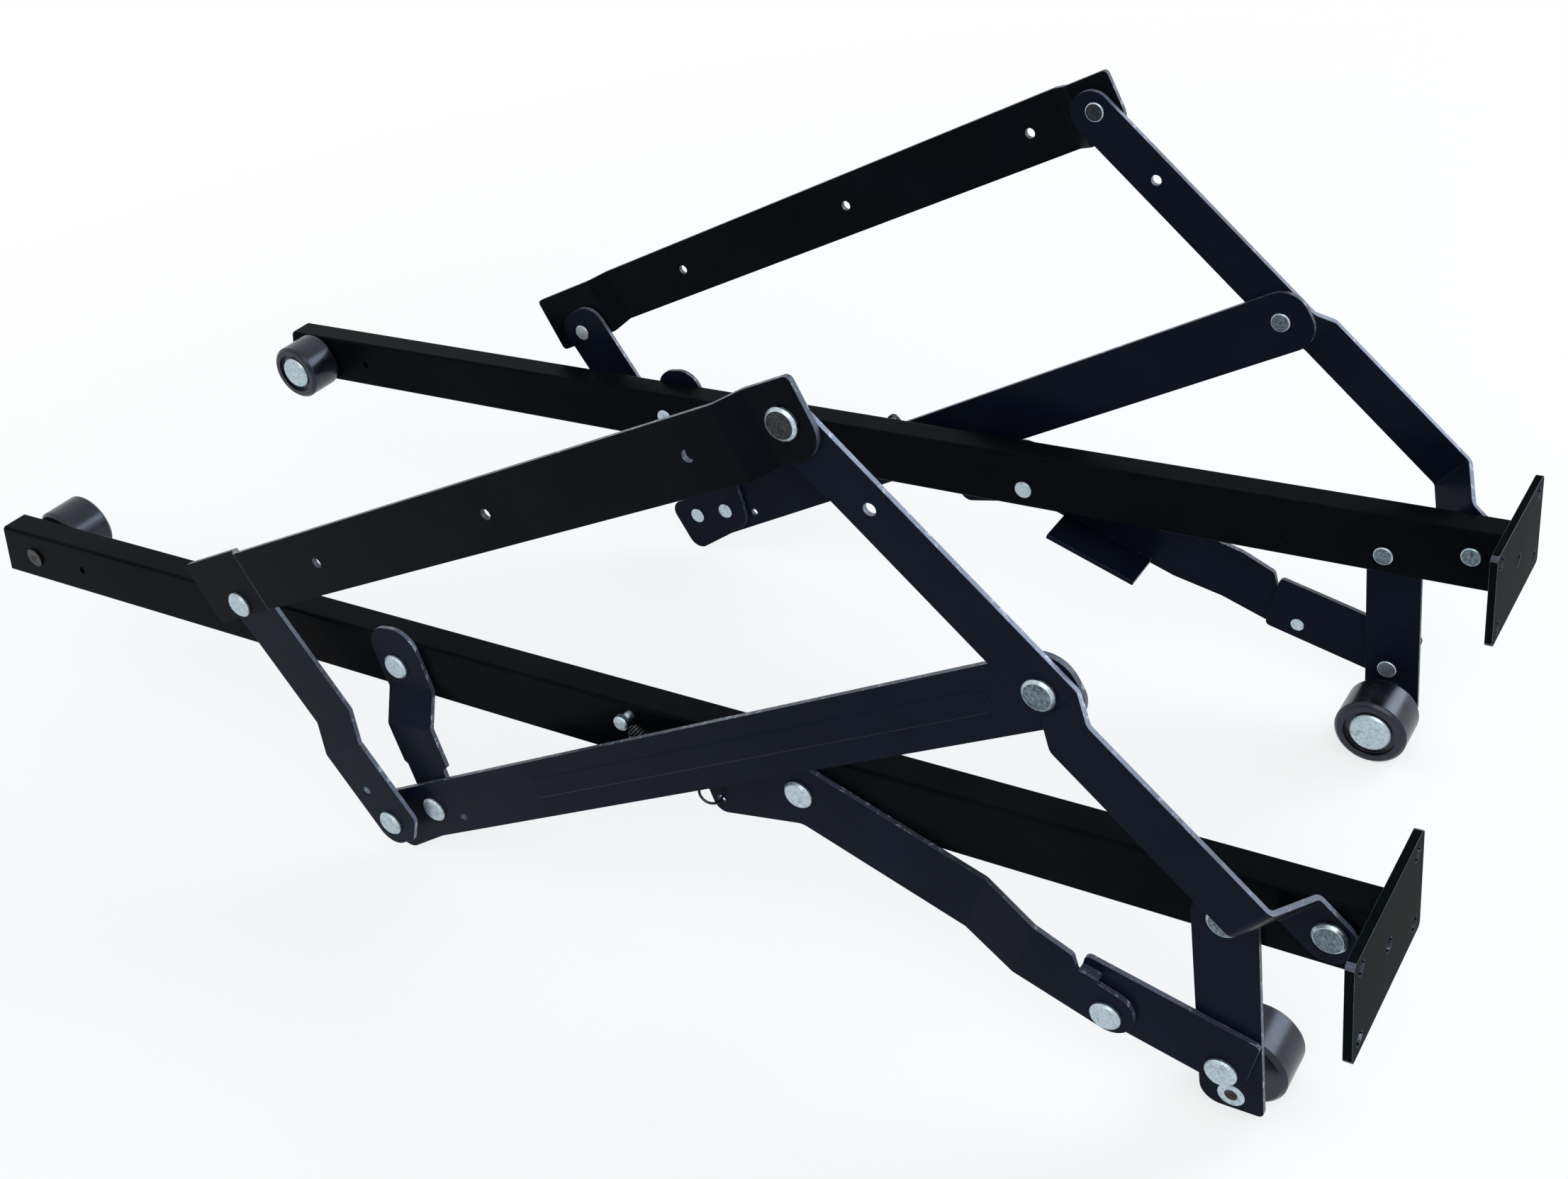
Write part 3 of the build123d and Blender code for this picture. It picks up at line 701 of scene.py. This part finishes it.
def makeWeldBeads(unit, look):
    beads = []
    for index, (start, end) in enumerate(weldRuns(unit, look)):
        ripples = (end - start).length / (look["ripplePitch"] * mm)
        count = round(ripples * look["ripplePoints"])
        path = []
        radii = []
        for step in range(count + 1):
            share = step / count
            point = start.lerp(end, share)
            drift = noise.noise(point * look["wanderScale"] + Vector((index, 0, 0))) * look["wander"] * mm
            wave = math.cos(2 * math.pi * step / look["ripplePoints"]) * look["ripple"] * mm
            fade = min(1, look["endShare"] + look["endRise"] * min(share, 1 - share))
            path.append(point + Vector((-drift, 0, drift)))
            radii.append((look["radius"] * mm + wave + drift) * fade)
        beads.append(sweepTube(f"{unit}Bead{index}", path, radii, look["ringPoints"]))
    piece = joinPieces(beads, pieceName(unit, "weld_beads"))
    addFinish(piece, "weld")
    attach(piece, nodes[f"{unit}_weld_beads"]["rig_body"])
    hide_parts(f"{unit}_weld_beads")


# The leg spring, wound from one wire between the brace's lobe and the rail's pin

springWire = {
    "wire": 0.72, "radius": 3.75, "pitch": 1.6, "lead": 1.2,
    "tipSwell": 0.25, "tipRise": 12,  # the coil starts and ends narrower than its middle
    "hookRadius": 6.4, "hookOut": 4.2, "hookFrom": 0.12, "hookSweep": 1.88,  # in half turns
    "eyeRadius": 3.7, "eyeOut": 6.2, "eyeFrom": 1, "eyeSweep": 1.85,  # in half turns as well
    "hookPoints": 22, "eyePoints": 20, "turnPoints": 16, "ringPoints": 8,
}


def springEnds(unit, look):
    # the hook's bight and the pin's middle, both brought to the rail's outer face
    face = outerFace(unit, "rail")
    pin = boxMiddle(f"{unit}_spring_pin")
    pin.y = face
    spring = nodes[f"{unit}_leg_spring"]
    corners = [spring.matrix_world @ vertex.co for vertex in spring.data.vertices]
    far = max(corners, key=lambda corner: math.hypot(corner.x - pin.x, corner.z - pin.z))
    lobe = Vector((far.x, face, far.z))
    lobe += (pin - lobe).normalized() * look["wire"] * mm
    return lobe, pin


def hookPath(look, lobe, axis, out):
    points = []
    radius = look["hookRadius"] * mm
    for step in range(look["hookPoints"]):
        turn = math.pi * (look["hookFrom"] + look["hookSweep"] * step / (look["hookPoints"] - 1))
        along = radius - radius * math.cos(turn + math.pi)
        lift = look["hookOut"] * mm + radius * math.sin(turn + math.pi)
        points.append(lobe + axis * along + out * lift)
    return points


def coilPath(look, lobe, axis, out, span):
    points = []
    rise = (look["eyeOut"] - look["hookOut"]) * mm / span
    start = (2 * look["hookRadius"] + look["lead"]) * mm
    end = span - (look["eyeRadius"] + look["lead"]) * mm
    turns = round((end - start) / (look["pitch"] * mm))
    count = turns * look["turnPoints"]
    for step in range(count + 1):
        share = step / count
        along = start + (end - start) * share
        turn = 2 * math.pi * turns * share
        swell = min(1, look["tipSwell"] + look["tipRise"] * min(share, 1 - share))
        coil = look["radius"] * mm * swell
        lift = look["hookOut"] * mm + rise * along + coil * math.cos(turn)
        points.append(lobe + axis * along + out * lift + out.cross(axis) * coil * math.sin(turn))
    return points


def eyePath(look, pin, axis, out):
    points = []
    radius = look["eyeRadius"] * mm
    for step in range(look["eyePoints"]):
        turn = math.pi * (look["eyeFrom"] + look["eyeSweep"] * step / (look["eyePoints"] - 1))
        offset = axis * math.cos(turn) + out.cross(axis) * math.sin(turn)
        points.append(pin + offset * radius + out * look["eyeOut"] * mm)
    return points


def makeLegSpring(unit, look):
    lobe, pin = springEnds(unit, look)
    out = outwards(unit)
    axis = (pin - lobe).normalized()
    path = hookPath(look, lobe, axis, out)
    path += coilPath(look, lobe, axis, out, (pin - lobe).length)
    path += eyePath(look, pin, axis, out)
    radii = [look["wire"] * mm] * len(path)
    piece = sweepTube(pieceName(unit, "leg_spring"), path, radii, look["ringPoints"])
    addFinish(piece, "spring")
    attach(piece, nodes[f"{unit}_leg_spring"]["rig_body"])
    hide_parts(f"{unit}_leg_spring")


for unit in units:
    makeWeldBeads(unit, weldBead)
    makeLegSpring(unit, springWire)
    makeLinkRib(unit, linkRib)
print("weld beads, leg springs and link ribs made")


# Backdrop, light and camera, in metres

studioMiddle = (-0.4, 0.15, 0)  # the floor lies around this point and the lamps aim at it

studioFloor = {
    "size": 12.0, "drop": 0.0006, "colour": (0.93, 0.93, 0.93), "shadeColour": (0.9207, 0.9207, 0.9207),
    "rough": 0.9, "gloss": 0.05, "shade": {"scale": 2, "detail": 2},
    "glow": (1, 1, 1), "glowStrength": 1.0,
    "wash": 0.72, "fadeStart": 0.5, "fadeEnd": 1.5,  # washed to white by this share, wholly past the end
}


def seenDirectly(tree):
    # 1 for what the camera sees, also in a reflection or through glass
    camera = Socket(tree).node("ShaderNodeLightPath", output="Is Camera Ray")
    glossy = Socket(tree).node("ShaderNodeLightPath", output="Is Glossy Ray")
    clear = Socket(tree).node("ShaderNodeLightPath", output="Is Transmission Ray")
    return camera.maths("MINIMUM", camera + glossy + clear, 1)


def makeFloorMaterial(look):
    constants = {"Roughness": look["rough"], "Specular IOR Level": look["gloss"]}
    material, shader, place = newMaterial("white floor", constants)
    tree = material.node_tree
    colour = blendColours(noiseAt(place, **look["shade"]), look["colour"], look["shadeColour"])
    fillSockets(tree, shader, {"Base Color": colour})
    reach = place.node("ShaderNodeVectorMath", {"operation": "LENGTH"}, {0: place}, "Value")
    fade = (reach - look["fadeStart"]) * (1 / (look["fadeEnd"] - look["fadeStart"]))
    fade = fade.node("ShaderNodeClamp", values={"Value": fade})
    fade = look["wash"] + fade * (1 - look["wash"])
    rays = seenDirectly(tree)
    light = {"Color": look["glow"], "Strength": look["glowStrength"]}
    glow = rays.node("ShaderNodeEmission", values=light)
    surface = Socket(tree, shader.outputs["BSDF"])
    mixed = rays.node("ShaderNodeMixShader", values={0: rays * fade, 1: surface, 2: glow})
    fillSockets(tree, tree.nodes["Material Output"], {"Surface": mixed})
    return material


def makeFloor(look):
    half = look["size"] / 2
    mesh = bpy.data.meshes.new("floor")
    corners = [(-half, -half, 0), (half, -half, 0), (half, half, 0), (-half, half, 0)]
    mesh.from_pydata(corners, [], [(0, 1, 2, 3)])
    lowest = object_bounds()[0][2]
    floor = linkObject("floor", mesh)
    floor.location = (studioMiddle[0], studioMiddle[1], lowest - look["drop"])
    mesh.materials.append(makeFloorMaterial(look))
    floor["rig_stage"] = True


sky = {"colour": (0.86, 0.93, 1.0), "strength": 0.75, "seenColour": (1, 1, 1), "seenStrength": 1}


def makeWorld(look):
    world = bpy.data.worlds.new("studio")
    bpy.context.scene.world = world
    world.use_nodes = True
    tree = world.node_tree
    rays = seenDirectly(tree)
    fillSockets(tree, tree.nodes["Background"], {
        "Color": blendColours(rays, look["colour"], look["seenColour"]),
        "Strength": look["strength"] + rays * (look["seenStrength"] - look["strength"]),
    })


lamps = (
    {"name": "keyLamp", "place": (0.5, -1.3, 1.7), "size": 1.6, "power": 16, "colour": (1.0, 0.98, 0.95)},
    {"name": "backLamp", "place": (0.95, 1.5, 0.95), "size": 1.1, "power": 20, "colour": (0.85, 0.93, 1.0)},
)


def makeLamp(look):
    light = bpy.data.lights.new(look["name"], "AREA")
    light.size = look["size"]
    light.energy = look["power"]
    light.color = look["colour"]
    holder = linkObject(look["name"], light)
    holder.location = look["place"]
    aim = Vector(studioMiddle) - holder.location
    holder.rotation_euler = aim.to_track_quat("-Z", "Y").to_euler()


photoCamera = {
    # the photograph's view, in the frame's axes
    "place": (0.15703, -0.55245, 0.55684),
    "forward": (-0.52207, 0.66369, -0.53568), "right": (0.83143, 0.53607, -0.14614),
    "focalPixels": 2582.4, "frameWidth": 2212, "sensor": 36.0, "clipNear": 0.02, "clipFar": 60,
}


def makeCamera(look):
    lens = bpy.data.cameras.new("photoCamera")
    lens.sensor_width = look["sensor"]
    lens.lens = look["focalPixels"] * look["sensor"] / look["frameWidth"]
    lens.clip_start = look["clipNear"]
    lens.clip_end = look["clipFar"]
    forward = Vector(look["forward"]).normalized()
    right = Vector(look["right"])
    right = (right - forward * right.dot(forward)).normalized()
    turn = Matrix((right, right.cross(forward), -forward)).transposed()
    holder = linkObject("photoCamera", lens)
    holder.matrix_world = Matrix.Translation(Vector(look["place"])) @ turn.to_4x4()
    bpy.context.scene.camera = holder


makeFloor(studioFloor)
makeWorld(sky)
for lamp in lamps:
    makeLamp(lamp)
makeCamera(photoCamera)
bpy.context.scene.view_settings.view_transform = "Standard"
print("studio ready")
